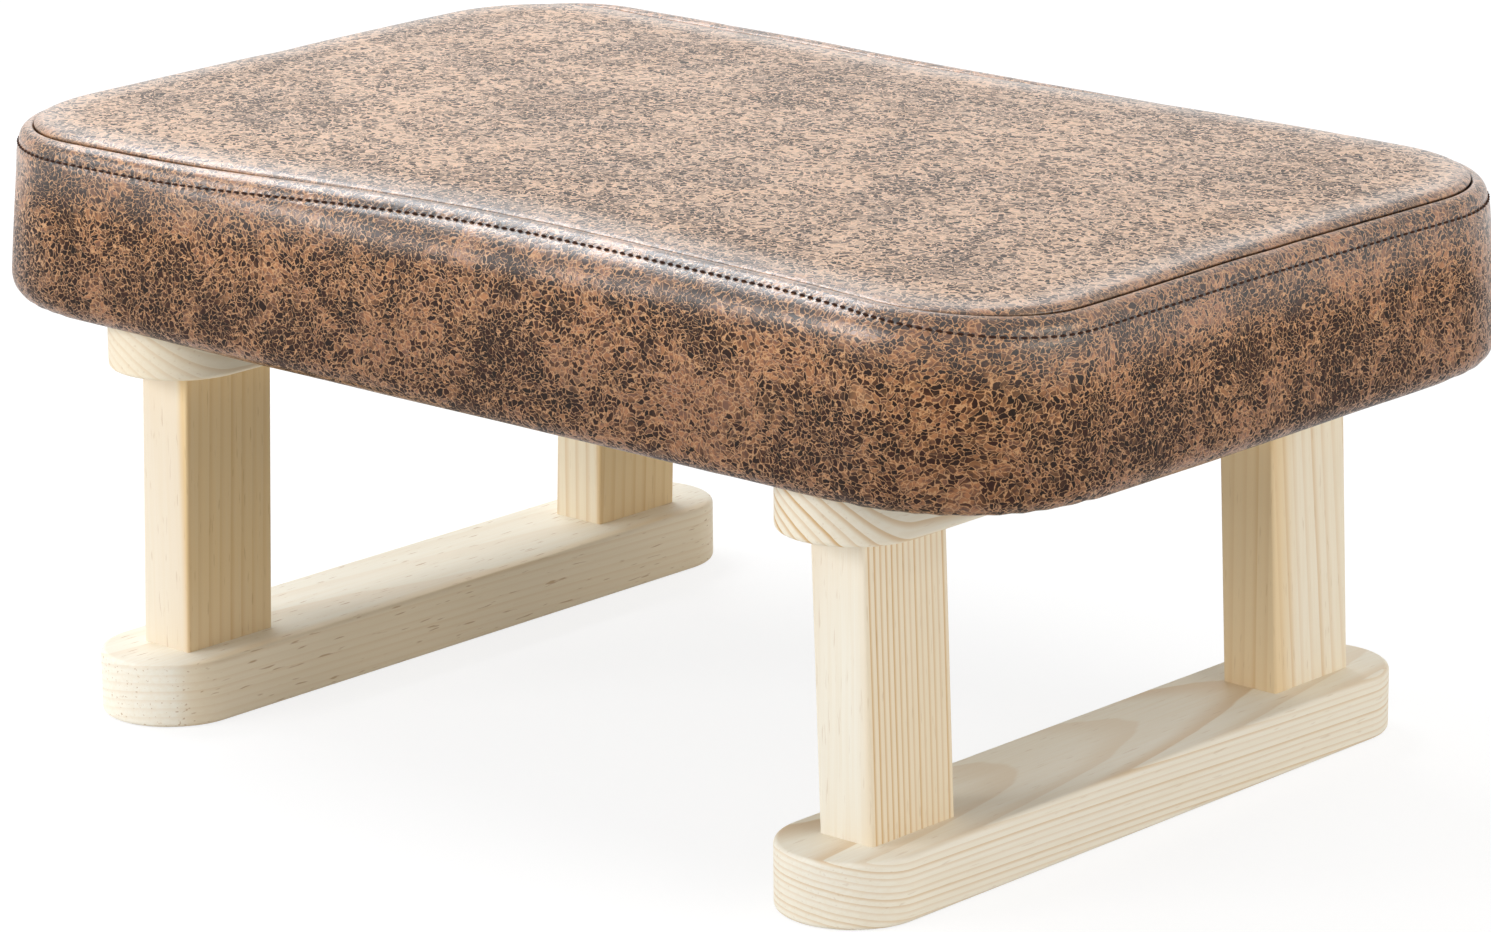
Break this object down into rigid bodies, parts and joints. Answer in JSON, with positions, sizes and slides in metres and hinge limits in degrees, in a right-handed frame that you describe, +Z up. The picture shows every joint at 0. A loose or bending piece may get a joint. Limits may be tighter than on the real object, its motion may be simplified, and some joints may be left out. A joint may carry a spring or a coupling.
{
  "type": "padded footstool",
  "caption": "Low rectangular footstool: a foam seat in a distressed brown leather-look cover, sewn round its top edge, standing on pine leg frames with round-ended rails.",
  "frame": {"origin": "on the floor, under the middle of the seat", "axes": "+X along the seat to its right end, +Y from the front of the seat to its back, +Z up"},
  "size_m": [0.4002, 0.2552, 0.1745],
  "materials": {
    "leather": "semi-gloss, distressed, dark pores in a tan web",
    "foam": "open-cell foam, matt",
    "plywood": "raw sawn plywood",
    "lining": "black spunbond, matt",
    "staple_steel": "galvanised wire",
    "pine": "pale sanded pine with straight yellow grain, clear matt",
    "screw_steel": "yellow zinc plated"
  },
  "bodies": {
    "root": {"cover_top_panel": "leather", "cover_side_band": "leather", "seat_foam": "foam", "seat_board": "plywood", "dust_cover": "lining", "hem_staples": "staple_steel", "dust_cover_staples": "staple_steel", "left_top_rail": "pine", "right_top_rail": "pine", "left_foot_rail": "pine", "right_foot_rail": "pine", "left_front_post": "pine", "left_back_post": "pine", "right_front_post": "pine", "right_back_post": "pine", "foot_screws": "screw_steel", "top_rail_screws": "screw_steel", "seat_screws": "screw_steel"}
  },
  "joints": []
}
